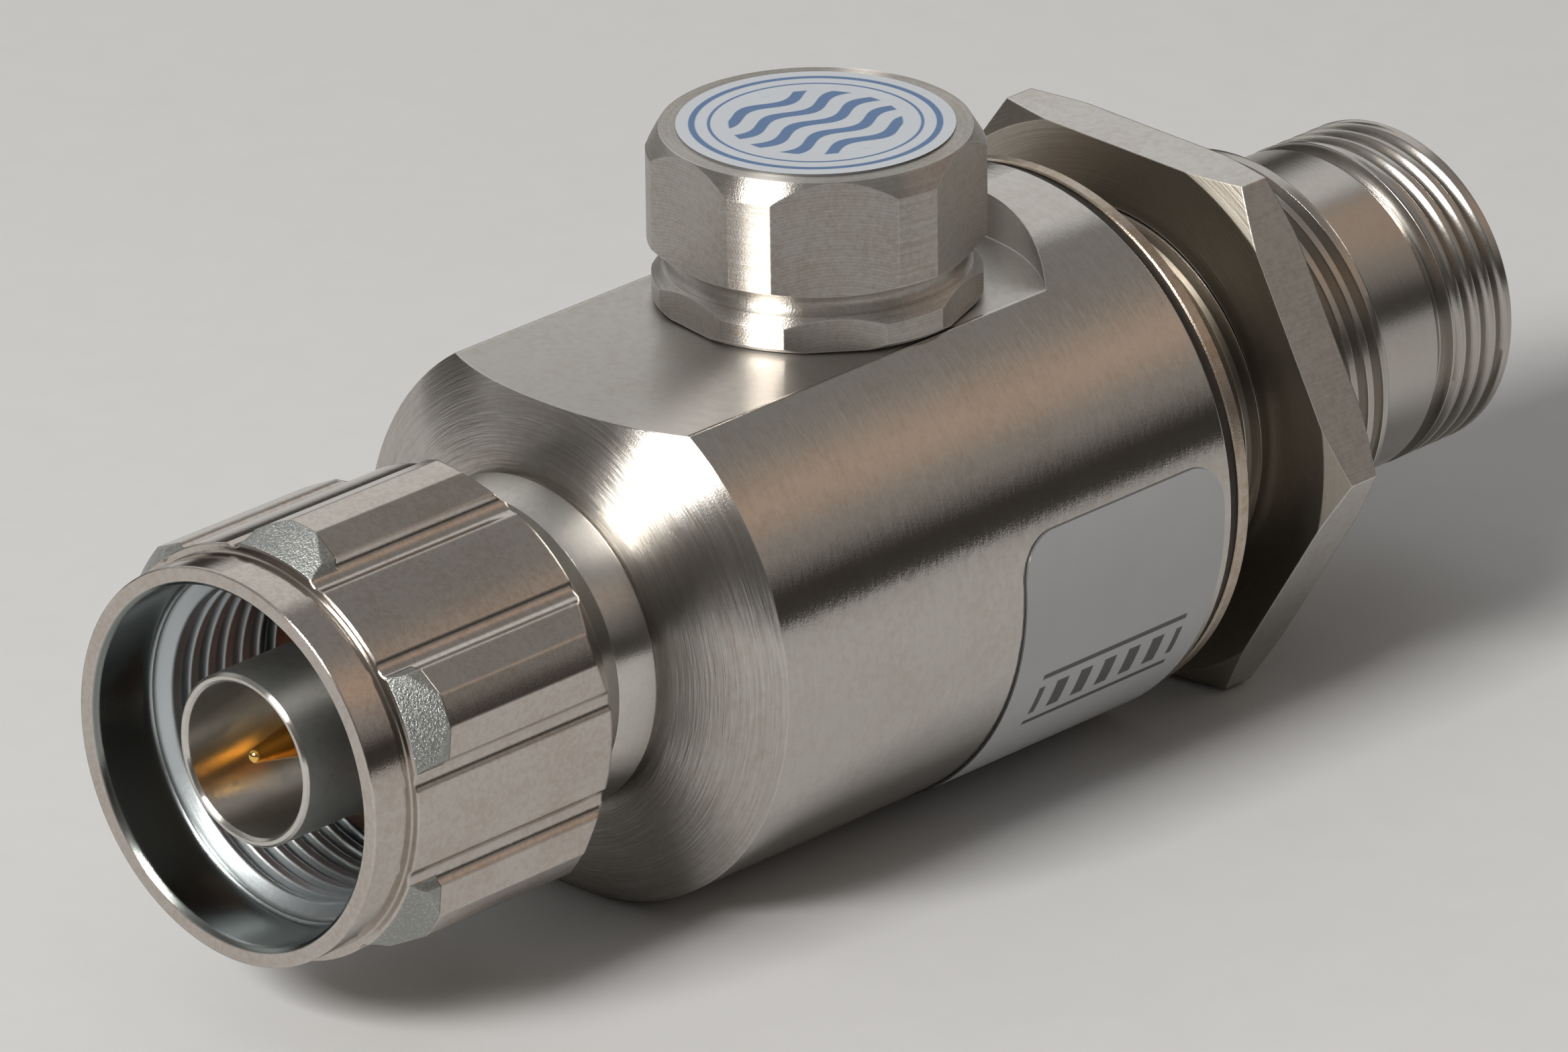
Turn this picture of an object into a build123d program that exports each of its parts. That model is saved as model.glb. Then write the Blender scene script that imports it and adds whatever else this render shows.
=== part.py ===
from build123d import *
from math import cos, exp, radians, sin
import os

# Coaxial surge protector with a screw-in gas capsule, in millimetres
# X runs along the coaxial line, from the plug to the jack
# The origin is the centre of the plug's mating plane, at the tip of its outer contact
# Z runs up through the hexagonal cap

# Clearances
turning_gap = 0.05
slip_gap = 0.02
capsule_gap = 0.12
end_gap = 0.1

# Coaxial line
line_impedance = 50.0
free_space_factor = 59.96
line_bore_radius = 5.0
contact_pin_radius = 1.52
joint_stud_radius = 0.9
joint_stud_length = 3.0

# Plug
ferrule_radius = 4.05
ferrule_bore_radius = 3.6
ferrule_edge = 0.15
gasket_land_radius = 4.3
gasket_land_lead = 0.1
pin_tip_x = 0.45
pin_tip_radius = 0.35
pin_tip_taper = 2.6
pin_radius = 0.8
pin_shoulder_x = 5.5
collar_radius = 6.6
bead_wall = 1.05
bead_length = 4.0
plug_gasket_width = 2.6
plug_gasket_thickness = 0.7
neck_gap = 2.63
neck_length = 2.03
neck_front_radius = 7.5
neck_rear_radius = 7.81
neck_groove_radius = 7.35
neck_groove_width = 0.47
plug_spigot_radius = 6.4
plug_spigot_length = 6.5

# Coupling nut
nose_overhang = 0.985
nose_radius = 9.24
nose_length = 2.25
coupling_length = 14.3
coupling_across_flats = 19.286
coupling_corner_radius = 10.717
coupling_front_cone = 1.7
coupling_rear_cone = 1.33
coupling_corner_angle = 36.2
flute_offset = 2.5
flute_cutter_radius = 0.75
flute_depth = 0.42
mouth_radius = 8.34
mouth_depth = 3.3
mouth_chamfer = 0.23
coupling_thread_radius = 8.0
collar_lead = 0.365
lip_wall = 1.4
rear_lip_wall = 1.4
ring_thickness = 0.6
ring_wall = 1.2
ring_depth_in_collar = 0.62
ring_opening_angle = 36.0

# Housing
shoulder_root_radius = 8.41
shoulder_length = 2.37
shoulder_arc_radius = 10.7
body_radius = 13.2
body_length = 29.4
body_rear_edge = 0.25
cap_axis_from_rear = 13.53
flat_depth = 2.2
flat_cutter_radius = 10.3

# Gas capsule, inner conductor and spring
seat_height = 2.4
seat_barrel_radius = 3.2
seat_barrel_length = 8.4
capsule_radius = 4.0
capsule_height = 6.0
electrode_flange = 0.8
electrode_nose_radius = 2.4
electrode_nose_taper = 0.5
spark_gap = 0.7
ceramic_radius = 3.85
ceramic_wall = 0.95
spring_radius = 2.4
spring_wire_radius = 0.3
spring_turns = 4

# Cap
cap_bore_clearance = 0.25
cap_thread_wall = 1.35
cap_thread_length = 4.3
cap_thread_end_gap = 0.2
cap_across_flats = 14.3
cap_corner_angle = 20.2
cap_seat_gap = 0.12
cap_flange_radius = 7.52
cap_flange_height = 1.18
cap_flange_chamfer = 0.45
cap_flange_foot = 0.22
cap_neck_radius = 6.7
cap_neck_height = 1.0
cap_undercut_height = 0.3
cap_undercut_radius = 7.15
cap_corner_radius = 7.712
cap_corner_height = 4.25
cap_top_radius = 7.12
cap_top_chamfer = 0.98
cap_crown = 5.28
seal_section_radius = 0.4
seal_top_gap = 0.03

# Labels
label_thickness = 0.1
cap_label_radius = 6.33
side_label_front = -0.47
side_label_rear_margin = 0.8
side_label_top_angle = 78.0
side_label_bottom_angle = 165.0
side_label_corner = 2.0
side_label_end_angle = 23.5
side_label_middle_margin = 11.75

# Panel hardware on the bulkhead thread
bulkhead_thread_radius = 9.525
bulkhead_thread_length = 15.18
bulkhead_chamfer = 0.6
jack_spigot_radius = 7.2
jack_spigot_length = 6.0
mounting_gasket_inset = 0.3
mounting_gasket_thickness = 0.5
washer_inset = 0.15
washer_thickness = 0.7
washer_edge = 0.08
panel_space = 4.67
bulkhead_nut_thickness = 2.78
bulkhead_nut_across_flats = 25.4
bulkhead_nut_face_radius = 13.4
bulkhead_nut_chamfer_length = 0.58
bulkhead_nut_corner_angle = 2.1
hexagon_half_angle = 30.0

# Jack
jack_radius = 7.9375
jack_smooth_length = 4.82
jack_relief_length = 1.1
jack_relief_depth = 0.6
jack_thread_length = 3.85
jack_end_chamfer_radius = 7.2
jack_end_chamfer_length = 0.8
jack_bore_radius = 4.2
jack_bore_depth = 9.2
jack_throat_radius = 3.5
jack_throat_length = 2.0
jack_contact_recess = 4.1
socket_radius = 0.84
socket_depth = 6.0
socket_slot_width = 0.3
socket_slot_depth = 4.6

# Places along X, worked out from the lengths above
nut_rim_x = -nose_overhang
nut_rear_x = nut_rim_x + coupling_length
collar_ring_x = nut_rear_x - rear_lip_wall - end_gap - ring_thickness
nut_lip_x = collar_ring_x - lip_wall
ferrule_length = nut_lip_x - collar_lead
gasket_land_x = ferrule_length - plug_gasket_thickness - gasket_land_lead
neck_front_x = nut_rear_x + neck_gap
neck_rear_x = neck_front_x + neck_length
shoulder_root_x = neck_rear_x + neck_groove_width
body_front_x = shoulder_root_x + shoulder_length
body_rear_x = body_front_x + body_length
cap_x = body_rear_x - cap_axis_from_rear
plug_spigot_end_x = shoulder_root_x + plug_spigot_length
bead_step_x = ferrule_length + bead_wall
plug_bead_end_x = bead_step_x + bead_length
nut_front_x = body_rear_x + mounting_gasket_thickness + washer_thickness + panel_space
thread_end_x = body_rear_x + bulkhead_thread_length
relief_front_x = thread_end_x + jack_smooth_length
jack_thread_x = relief_front_x + jack_relief_length
jack_chamfer_x = jack_thread_x + jack_thread_length
jack_rim_x = jack_chamfer_x + jack_end_chamfer_length
jack_plane_x = jack_rim_x - jack_bore_depth
jack_bead_rear_x = jack_plane_x - jack_throat_length
jack_bead_front_x = jack_bead_rear_x - bead_length
jack_spigot_x = body_rear_x - jack_spigot_length

# Radii and heights shared by mating pieces
bore_ratio = exp(line_impedance / free_space_factor)
inner_conductor_radius = line_bore_radius / bore_ratio
cap_bore_radius = capsule_radius + cap_bore_clearance
cap_thread_radius = cap_bore_radius + cap_thread_wall
flat_height = body_radius - flat_depth
cap_foot_z = flat_height + cap_seat_gap
cap_thread_end_z = cap_foot_z - cap_thread_length
well_step_z = cap_thread_end_z - cap_thread_end_gap
capsule_top_z = seat_height + capsule_height
cap_flange_top_z = cap_foot_z + cap_flange_height
cap_neck_z = cap_flange_top_z + cap_flange_chamfer
cap_undercut_z = cap_neck_z + cap_neck_height
cap_hex_z = cap_undercut_z + cap_undercut_height
cap_chamfer_z = cap_hex_z + cap_corner_height
cap_top_z = cap_chamfer_z + cap_top_chamfer
cap_bore_top_z = cap_top_z - cap_crown
seal_radius = cap_thread_radius + slip_gap + seal_section_radius
seal_groove_radius = seal_radius + seal_section_radius + slip_gap
seal_groove_depth = 2 * seal_section_radius - cap_seat_gap + seal_top_gap
side_label_radius = body_radius + slip_gap
mounting_gasket_radius = body_radius - mounting_gasket_inset
washer_radius = body_radius - washer_inset

# Plug shell: ferrule, collar, neck ring and spigot turned in one piece
collar_groove_radius = collar_radius - ring_depth_in_collar
with BuildPart() as plug_shell:
    with BuildSketch(Plane.XZ):
        with BuildLine():
            Polyline(
                (0, ferrule_bore_radius + ferrule_edge),
                (0, ferrule_radius - ferrule_edge),
                (ferrule_edge, ferrule_radius),
                (gasket_land_x, ferrule_radius),
                (gasket_land_x, gasket_land_radius),
                (ferrule_length, gasket_land_radius),
                (ferrule_length, collar_radius),
                (collar_ring_x - slip_gap, collar_radius),
                (collar_ring_x - slip_gap, collar_groove_radius),
                (collar_ring_x + ring_thickness + slip_gap, collar_groove_radius),
                (collar_ring_x + ring_thickness + slip_gap, collar_radius),
                (neck_front_x, collar_radius),
                (neck_front_x, neck_front_radius),
                (neck_rear_x, neck_rear_radius),
                (neck_rear_x, neck_groove_radius),
                (shoulder_root_x, neck_groove_radius),
                (shoulder_root_x, plug_spigot_radius),
                (plug_spigot_end_x, plug_spigot_radius),
                (plug_spigot_end_x, line_bore_radius),
                (bead_step_x, line_bore_radius),
                (bead_step_x, ferrule_bore_radius),
                (ferrule_edge, ferrule_bore_radius),
                close=True,
            )
        make_face()
    revolve(axis=Axis.X)
plug_shell.part.label = "plug_shell"

# Plug insulator: bead against the step inside the shell
with BuildPart() as plug_insulator:
    with BuildSketch(Plane.YZ.offset(bead_step_x)):
        Circle(line_bore_radius - slip_gap)
        Circle(contact_pin_radius + slip_gap, mode=Mode.SUBTRACT)
    extrude(amount=bead_length)
plug_insulator.part.label = "plug_insulator"

# Plug pin: rounded tip, shank, thick body through the bead and a stud behind it
pin_nose_x = pin_tip_x + pin_tip_radius
with BuildPart() as plug_pin:
    with BuildSketch(Plane.XZ):
        with BuildLine():
            RadiusArc((pin_tip_x, 0), (pin_nose_x, pin_tip_radius), pin_tip_radius)
            Polyline(
                (pin_nose_x, pin_tip_radius),
                (pin_tip_x + pin_tip_taper, pin_radius),
                (pin_shoulder_x, pin_radius),
                (pin_shoulder_x, contact_pin_radius),
                (plug_bead_end_x, contact_pin_radius),
                (plug_bead_end_x, joint_stud_radius),
                (plug_bead_end_x + joint_stud_length, joint_stud_radius),
                (plug_bead_end_x + joint_stud_length, 0),
                (pin_tip_x, 0),
            )
        make_face()
    revolve(axis=Axis.X)
plug_pin.part.label = "plug_pin"

# Plug gasket: flat ring against the collar's face
with BuildPart() as plug_gasket:
    with BuildSketch(Plane.YZ.offset(ferrule_length - plug_gasket_thickness)):
        Circle(gasket_land_radius + slip_gap + plug_gasket_width)
        Circle(gasket_land_radius + slip_gap, mode=Mode.SUBTRACT)
    extrude(amount=plug_gasket_thickness)
plug_gasket.part.label = "plug_gasket"

# Coupling nut: hexagonal bar with a rounded strip between two flutes on each side
coupling_apothem = coupling_across_flats / 2
flute_angle = coupling_corner_angle - hexagon_half_angle
flute_centre = coupling_apothem + flute_cutter_radius - flute_depth
nut_ring_radius = collar_groove_radius + slip_gap + ring_wall + end_gap
mouth_step = mouth_radius - coupling_thread_radius
with BuildPart() as coupling_nut:
    with BuildSketch(Plane.YZ.offset(nut_rim_x)):
        RegularPolygon(coupling_apothem, 6, major_radius=False, rotation=coupling_corner_angle)
        with PolarLocations(coupling_apothem, 6, start_angle=flute_angle):
            Rectangle(2 * flute_depth, 2 * flute_offset, mode=Mode.SUBTRACT)
        Circle(coupling_apothem)
        with PolarLocations(flute_centre, 6, start_angle=flute_angle):
            with Locations((0, flute_offset), (0, -flute_offset)):
                Circle(flute_cutter_radius, mode=Mode.SUBTRACT)
    extrude(amount=coupling_length)
    with BuildSketch(Plane.XZ):
        with BuildLine():
            Polyline(
                (nut_rim_x, mouth_radius + mouth_chamfer),
                (nut_rim_x, nose_radius),
                (nut_rim_x + nose_length, nose_radius),
                (nut_rim_x + nose_length, coupling_apothem),
                (nut_rim_x + nose_length + coupling_front_cone, coupling_corner_radius),
                (nut_rear_x - coupling_rear_cone, coupling_corner_radius),
                (nut_rear_x, coupling_apothem),
                (nut_rear_x, collar_radius + turning_gap),
                (collar_ring_x + ring_thickness + end_gap, collar_radius + turning_gap),
                (collar_ring_x + ring_thickness + end_gap, nut_ring_radius),
                (collar_ring_x - end_gap, nut_ring_radius),
                (collar_ring_x - end_gap, collar_radius + turning_gap),
                (nut_lip_x, collar_radius + turning_gap),
                (nut_lip_x, coupling_thread_radius),
                (nut_rim_x + mouth_depth + mouth_step, coupling_thread_radius),
                (nut_rim_x + mouth_depth, mouth_radius),
                (nut_rim_x + mouth_chamfer, mouth_radius),
                close=True,
            )
        make_face()
    revolve(axis=Axis.X, mode=Mode.INTERSECT)
coupling_nut.part.label = "coupling_nut"

# Snap ring: split ring half in the collar's groove and half in the nut's groove
ring_inner_radius = collar_groove_radius + slip_gap
ring_opening = 2 * ring_inner_radius * sin(radians(ring_opening_angle / 2))
with BuildPart() as snap_ring:
    with BuildSketch(Plane.YZ.offset(collar_ring_x)):
        Circle(ring_inner_radius + ring_wall)
        Circle(ring_inner_radius, mode=Mode.SUBTRACT)
        with Locations((0, -ring_inner_radius - ring_wall / 2)):
            Rectangle(ring_opening, 2 * ring_wall, mode=Mode.SUBTRACT)
    extrude(amount=ring_thickness)
snap_ring.part.label = "snap_ring"

# Housing: turned body with a domed shoulder, a milled flat and the capsule's well
with BuildPart() as housing:
    with BuildSketch(Plane.XZ):
        with BuildLine():
            RadiusArc(
                (shoulder_root_x, shoulder_root_radius),
                (body_front_x, body_radius),
                shoulder_arc_radius,
            )
            Polyline(
                (body_front_x, body_radius),
                (body_rear_x - body_rear_edge, body_radius),
                (body_rear_x, body_radius - body_rear_edge),
                (body_rear_x, jack_spigot_radius + slip_gap),
                (jack_spigot_x, jack_spigot_radius + slip_gap),
                (jack_spigot_x, line_bore_radius),
                (plug_spigot_end_x, line_bore_radius),
                (plug_spigot_end_x, plug_spigot_radius + slip_gap),
                (shoulder_root_x, plug_spigot_radius + slip_gap),
                (shoulder_root_x, shoulder_root_radius),
            )
        make_face()
    revolve(axis=Axis.X)
    with BuildSketch(Plane((cap_x, 0, flat_height))):
        Circle(flat_cutter_radius)
        with Locations((shoulder_root_x - cap_x, 0)):
            Rectangle(
                cap_x - shoulder_root_x, 2 * flat_cutter_radius, align=(Align.MIN, Align.CENTER)
            )
    extrude(amount=body_radius - flat_height, mode=Mode.SUBTRACT)
    with BuildSketch(Plane((cap_x, 0, flat_height))):
        Circle(seal_groove_radius)
    extrude(amount=-seal_groove_depth, mode=Mode.SUBTRACT)
    with BuildSketch(Plane((cap_x, 0, well_step_z))):
        Circle(cap_thread_radius + turning_gap)
    extrude(amount=flat_height - well_step_z, mode=Mode.SUBTRACT)
    with BuildSketch(Plane((cap_x, 0, 0))):
        Circle(capsule_radius + capsule_gap)
    extrude(amount=well_step_z, mode=Mode.SUBTRACT)
housing.part.label = "housing"

# Inner conductor: rod with a thick middle that is milled flat under the capsule
with BuildPart() as inner_conductor:
    with BuildSketch(Plane.YZ.offset(plug_bead_end_x)):
        Circle(inner_conductor_radius)
    extrude(amount=jack_bead_front_x - plug_bead_end_x)
    with BuildSketch(Plane.YZ.offset(cap_x - seat_barrel_length / 2)):
        Circle(seat_barrel_radius)
    extrude(amount=seat_barrel_length)
    with BuildSketch(Plane((cap_x, 0, seat_height))):
        Rectangle(seat_barrel_length, 2 * seat_barrel_radius)
    extrude(amount=seat_barrel_radius, mode=Mode.SUBTRACT)
    for end_plane in (Plane.YZ.offset(plug_bead_end_x), -Plane.YZ.offset(jack_bead_front_x)):
        with BuildSketch(end_plane):
            Circle(joint_stud_radius + slip_gap)
        extrude(amount=joint_stud_length + end_gap, mode=Mode.SUBTRACT)
inner_conductor.part.label = "inner_conductor"

# Gas capsule: ceramic tube closed by two flanged electrodes
ceramic_foot_z = seat_height + electrode_flange
with BuildPart() as capsule_ceramic:
    with BuildSketch(Plane((cap_x, 0, ceramic_foot_z))):
        Circle(ceramic_radius)
        Circle(ceramic_radius - ceramic_wall, mode=Mode.SUBTRACT)
    extrude(amount=capsule_height - 2 * electrode_flange)
capsule_ceramic.part.label = "capsule_ceramic"

electrode_height = (capsule_height - spark_gap) / 2
electrode_outline = (
    (0, 0),
    (capsule_radius, 0),
    (capsule_radius, electrode_flange),
    (electrode_nose_radius, electrode_flange),
    (electrode_nose_radius - electrode_nose_taper, electrode_height),
    (0, electrode_height),
)
with BuildPart() as lower_electrode:
    with BuildSketch(Plane((cap_x, 0, seat_height), x_dir=(1, 0, 0), z_dir=(0, -1, 0))):
        with BuildLine():
            Polyline(*electrode_outline, close=True)
        make_face()
    revolve(axis=Axis((cap_x, 0, 0), (0, 0, 1)))
lower_electrode.part.label = "lower_electrode"

with BuildPart() as upper_electrode:
    with BuildSketch(Plane((cap_x, 0, capsule_top_z), x_dir=(1, 0, 0), z_dir=(0, 1, 0))):
        with BuildLine():
            Polyline(*electrode_outline, close=True)
        make_face()
    revolve(axis=Axis((cap_x, 0, 0), (0, 0, 1)))
upper_electrode.part.label = "upper_electrode"

# Contact spring: round wire coiled between the capsule and the cap
spring_foot_z = capsule_top_z + spring_wire_radius + slip_gap
spring_rise = cap_bore_top_z - spring_foot_z - spring_wire_radius - slip_gap
with BuildPart() as contact_spring:
    with BuildLine() as spring_path:
        Helix(
            pitch=spring_rise / spring_turns,
            height=spring_rise,
            radius=spring_radius,
            center=(cap_x, 0, spring_foot_z),
        )
    with BuildSketch(Plane(origin=spring_path.line @ 0, z_dir=spring_path.line % 0)):
        Circle(spring_wire_radius)
    sweep(path=spring_path.line, is_frenet=True)
contact_spring.part.label = "contact_spring"

# Cap: hexagonal bar turned with a flange, a waist and a hollow threaded stub
with BuildPart() as cap:
    with BuildSketch(Plane((cap_x, 0, cap_thread_end_z))):
        RegularPolygon(cap_across_flats / 2, 6, major_radius=False, rotation=cap_corner_angle)
    extrude(amount=cap_top_z - cap_thread_end_z)
    with BuildSketch(Plane((cap_x, 0, 0), x_dir=(1, 0, 0), z_dir=(0, -1, 0))):
        with BuildLine():
            Polyline(
                (0, cap_top_z),
                (0, cap_bore_top_z),
                (cap_bore_radius, cap_bore_top_z),
                (cap_bore_radius, cap_thread_end_z),
                (cap_thread_radius, cap_thread_end_z),
                (cap_thread_radius, cap_foot_z),
                (cap_flange_radius - cap_flange_foot, cap_foot_z),
                (cap_flange_radius, cap_foot_z + cap_flange_foot),
                (cap_flange_radius, cap_flange_top_z),
                (cap_flange_radius - cap_flange_chamfer, cap_neck_z),
            )
            ThreePointArc(
                (cap_flange_radius - cap_flange_chamfer, cap_neck_z),
                (cap_neck_radius, (cap_neck_z + cap_undercut_z) / 2),
                (cap_undercut_radius, cap_undercut_z),
            )
            Polyline(
                (cap_undercut_radius, cap_undercut_z),
                (cap_corner_radius, cap_hex_z),
                (cap_corner_radius, cap_chamfer_z),
                (cap_top_radius, cap_top_z),
                (0, cap_top_z),
            )
        make_face()
    revolve(axis=Axis((cap_x, 0, 0), (0, 0, 1)), mode=Mode.INTERSECT)
cap.part.label = "cap"

# Cap seal: round ring in the groove under the cap's flange
with BuildPart() as cap_seal:
    with BuildSketch(Plane((cap_x, 0, 0), x_dir=(1, 0, 0), z_dir=(0, -1, 0))):
        with Locations((seal_radius, flat_height - seal_groove_depth + seal_section_radius)):
            Circle(seal_section_radius)
    revolve(axis=Axis((cap_x, 0, 0), (0, 0, 1)))
cap_seal.part.label = "cap_seal"

# Cap label: thin disc on the cap's top face
with BuildPart() as cap_label:
    with BuildSketch(Plane((cap_x, 0, cap_top_z))):
        Circle(cap_label_radius)
    extrude(amount=label_thickness)
cap_label.part.label = "cap_label"

# Side label: thin sheet bent round the body; three blocks give its outline and rounded corners
side_label_front_x = cap_x + side_label_front
side_label_length = body_rear_x - side_label_rear_margin - side_label_front_x
label_centre_x = side_label_front_x + side_label_length / 2
label_middle_angle = (side_label_top_angle + side_label_bottom_angle) / 2
label_half_angle = (side_label_bottom_angle - side_label_top_angle) / 2
label_blocks = (
    (side_label_top_angle + side_label_end_angle, side_label_end_angle),
    (label_middle_angle, label_half_angle - side_label_middle_margin),
    (side_label_bottom_angle - side_label_end_angle, side_label_end_angle),
)
with BuildPart() as label_outline:
    for angle, half_angle in label_blocks:
        outward = (0, -sin(radians(angle)), cos(radians(angle)))
        block_height = 2 * side_label_radius * sin(radians(half_angle))
        with BuildSketch(Plane((label_centre_x, 0, 0), x_dir=(1, 0, 0), z_dir=outward)):
            RectangleRounded(side_label_length, block_height, side_label_corner)
        extrude(amount=side_label_radius + label_thickness)
with BuildPart() as side_label:
    with BuildSketch(Plane.YZ.offset(side_label_front_x)):
        Circle(side_label_radius + label_thickness)
        Circle(side_label_radius, mode=Mode.SUBTRACT)
    extrude(amount=side_label_length)
    add(label_outline.part, mode=Mode.INTERSECT)
side_label.part.label = "side_label"

# Jack barrel: spigot, bulkhead thread, smooth barrel and jack thread in one piece
jack_relief_radius = jack_radius - jack_relief_depth
with BuildPart() as jack_barrel:
    with BuildSketch(Plane.XZ):
        with BuildLine():
            Polyline(
                (jack_spigot_x, line_bore_radius),
                (jack_spigot_x, jack_spigot_radius),
                (body_rear_x, jack_spigot_radius),
                (body_rear_x, bulkhead_thread_radius),
                (thread_end_x - bulkhead_chamfer, bulkhead_thread_radius),
                (thread_end_x, bulkhead_thread_radius - bulkhead_chamfer),
                (thread_end_x, jack_radius),
                (relief_front_x, jack_radius),
                (relief_front_x + jack_relief_depth / 2, jack_relief_radius),
                (jack_thread_x - jack_relief_depth / 2, jack_relief_radius),
                (jack_thread_x, jack_radius),
                (jack_chamfer_x, jack_radius),
                (jack_rim_x, jack_end_chamfer_radius),
                (jack_rim_x, jack_bore_radius),
                (jack_plane_x, jack_bore_radius),
                (jack_plane_x, jack_throat_radius),
                (jack_bead_rear_x, jack_throat_radius),
                (jack_bead_rear_x, line_bore_radius),
                close=True,
            )
        make_face()
    revolve(axis=Axis.X)
jack_barrel.part.label = "jack_barrel"

# Jack insulator: bead against the step inside the barrel
with BuildPart() as jack_insulator:
    with BuildSketch(Plane.YZ.offset(jack_bead_front_x)):
        Circle(line_bore_radius - slip_gap)
        Circle(contact_pin_radius + slip_gap, mode=Mode.SUBTRACT)
    extrude(amount=bead_length)
jack_insulator.part.label = "jack_insulator"

# Jack contact: socket with crossed slots and a stud into the inner conductor
contact_tip_x = jack_rim_x - jack_contact_recess
with BuildPart() as jack_contact:
    with BuildSketch(Plane.YZ.offset(jack_bead_front_x)):
        Circle(contact_pin_radius)
    extrude(amount=contact_tip_x - jack_bead_front_x)
    with BuildSketch(Plane.YZ.offset(jack_bead_front_x)):
        Circle(joint_stud_radius)
    extrude(amount=-joint_stud_length)
    with BuildSketch(Plane.YZ.offset(contact_tip_x)):
        Circle(socket_radius)
    extrude(amount=-socket_depth, mode=Mode.SUBTRACT)
    with BuildSketch(Plane.YZ.offset(contact_tip_x)):
        Rectangle(2 * contact_pin_radius, socket_slot_width)
        Rectangle(socket_slot_width, 2 * contact_pin_radius)
    extrude(amount=-socket_slot_depth, mode=Mode.SUBTRACT)
jack_contact.part.label = "jack_contact"

# Mounting gasket and washer: flat rings on the bulkhead thread, against the body
with BuildPart() as mounting_gasket:
    with BuildSketch(Plane.YZ.offset(body_rear_x)):
        Circle(mounting_gasket_radius)
        Circle(bulkhead_thread_radius + slip_gap, mode=Mode.SUBTRACT)
    extrude(amount=mounting_gasket_thickness)
mounting_gasket.part.label = "mounting_gasket"

washer_front_x = body_rear_x + mounting_gasket_thickness
with BuildPart() as mounting_washer:
    with BuildSketch(Plane.YZ.offset(washer_front_x)):
        Circle(washer_radius)
        Circle(bulkhead_thread_radius + turning_gap, mode=Mode.SUBTRACT)
    extrude(amount=washer_thickness)
    washer_rims = mounting_washer.edges().filter_by(GeomType.CIRCLE).group_by(SortBy.RADIUS)[-1]
    chamfer(washer_rims, washer_edge)
mounting_washer.part.label = "mounting_washer"

# Bulkhead nut: thin hexagonal nut with turned corners on both faces
nut_back_x = nut_front_x + bulkhead_nut_thickness
nut_corner_radius = bulkhead_nut_across_flats / 2 / cos(radians(hexagon_half_angle))
with BuildPart() as bulkhead_nut:
    with BuildSketch(Plane.YZ.offset(nut_front_x)):
        RegularPolygon(
            bulkhead_nut_across_flats / 2,
            6,
            major_radius=False,
            rotation=bulkhead_nut_corner_angle,
        )
    extrude(amount=bulkhead_nut_thickness)
    with BuildSketch(Plane.XZ):
        with BuildLine():
            Polyline(
                (nut_front_x, bulkhead_thread_radius + turning_gap),
                (nut_front_x, bulkhead_nut_face_radius),
                (nut_front_x + bulkhead_nut_chamfer_length, nut_corner_radius),
                (nut_back_x - bulkhead_nut_chamfer_length, nut_corner_radius),
                (nut_back_x, bulkhead_nut_face_radius),
                (nut_back_x, bulkhead_thread_radius + turning_gap),
                close=True,
            )
        make_face()
    revolve(axis=Axis.X, mode=Mode.INTERSECT)
bulkhead_nut.part.label = "bulkhead_nut"

# Write one STEP file for each piece
pieces = (
    plug_shell,
    plug_insulator,
    plug_pin,
    plug_gasket,
    coupling_nut,
    snap_ring,
    housing,
    inner_conductor,
    capsule_ceramic,
    lower_electrode,
    upper_electrode,
    contact_spring,
    cap,
    cap_seal,
    cap_label,
    side_label,
    jack_barrel,
    jack_insulator,
    jack_contact,
    mounting_gasket,
    mounting_washer,
    bulkhead_nut,
)
os.makedirs("parts", exist_ok=True)
for piece in pieces:
    export_step(piece.part, f"parts/{piece.part.label}.step")
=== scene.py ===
import math

import bmesh
import bpy
import numpy as np
from mathutils import Matrix, Vector


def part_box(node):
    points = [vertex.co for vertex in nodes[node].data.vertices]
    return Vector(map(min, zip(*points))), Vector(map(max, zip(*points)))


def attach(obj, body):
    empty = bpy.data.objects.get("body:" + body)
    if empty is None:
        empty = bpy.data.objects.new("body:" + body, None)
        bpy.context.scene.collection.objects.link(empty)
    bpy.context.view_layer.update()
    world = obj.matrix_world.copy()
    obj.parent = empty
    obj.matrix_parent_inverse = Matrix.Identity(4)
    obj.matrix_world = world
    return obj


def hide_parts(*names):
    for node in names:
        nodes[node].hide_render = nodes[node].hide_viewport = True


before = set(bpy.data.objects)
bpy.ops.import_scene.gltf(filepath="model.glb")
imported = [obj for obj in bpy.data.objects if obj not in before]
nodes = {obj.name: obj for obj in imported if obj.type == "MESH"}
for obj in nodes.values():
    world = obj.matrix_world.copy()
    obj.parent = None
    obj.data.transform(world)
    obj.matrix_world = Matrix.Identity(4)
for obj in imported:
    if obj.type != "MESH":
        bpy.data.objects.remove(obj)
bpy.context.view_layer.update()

MM = 0.001
TURN = 2 * math.pi
X, Z = 0, 2


def reach(node, axis):
    """The lowest and highest place of a node along an axis, in millimetres."""
    low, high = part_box(node)
    return round(low[axis] / MM, 3), round(high[axis] / MM, 3)


# Sizes shared by several pieces, in millimetres
PITCH = 1.0583
SHOULDER_LENGTH = 2.37
FLAT_DEPTH = 2.2
LIP_WALL = 1.4
FILM_THICKNESS = 0.1

# Places on the object, in millimetres
SHOULDER_X, BODY_REAR_X = reach("housing", X)
BODY_FRONT_X = SHOULDER_X + SHOULDER_LENGTH
BODY_RADIUS = reach("housing", Z)[1]
FLAT_Z = BODY_RADIUS - FLAT_DEPTH
FLOOR_Z = -BODY_RADIUS
CAP_X = sum(reach("cap_label", X)) / 2
NUT_LIP_X = reach("snap_ring", X)[0] - LIP_WALL

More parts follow.
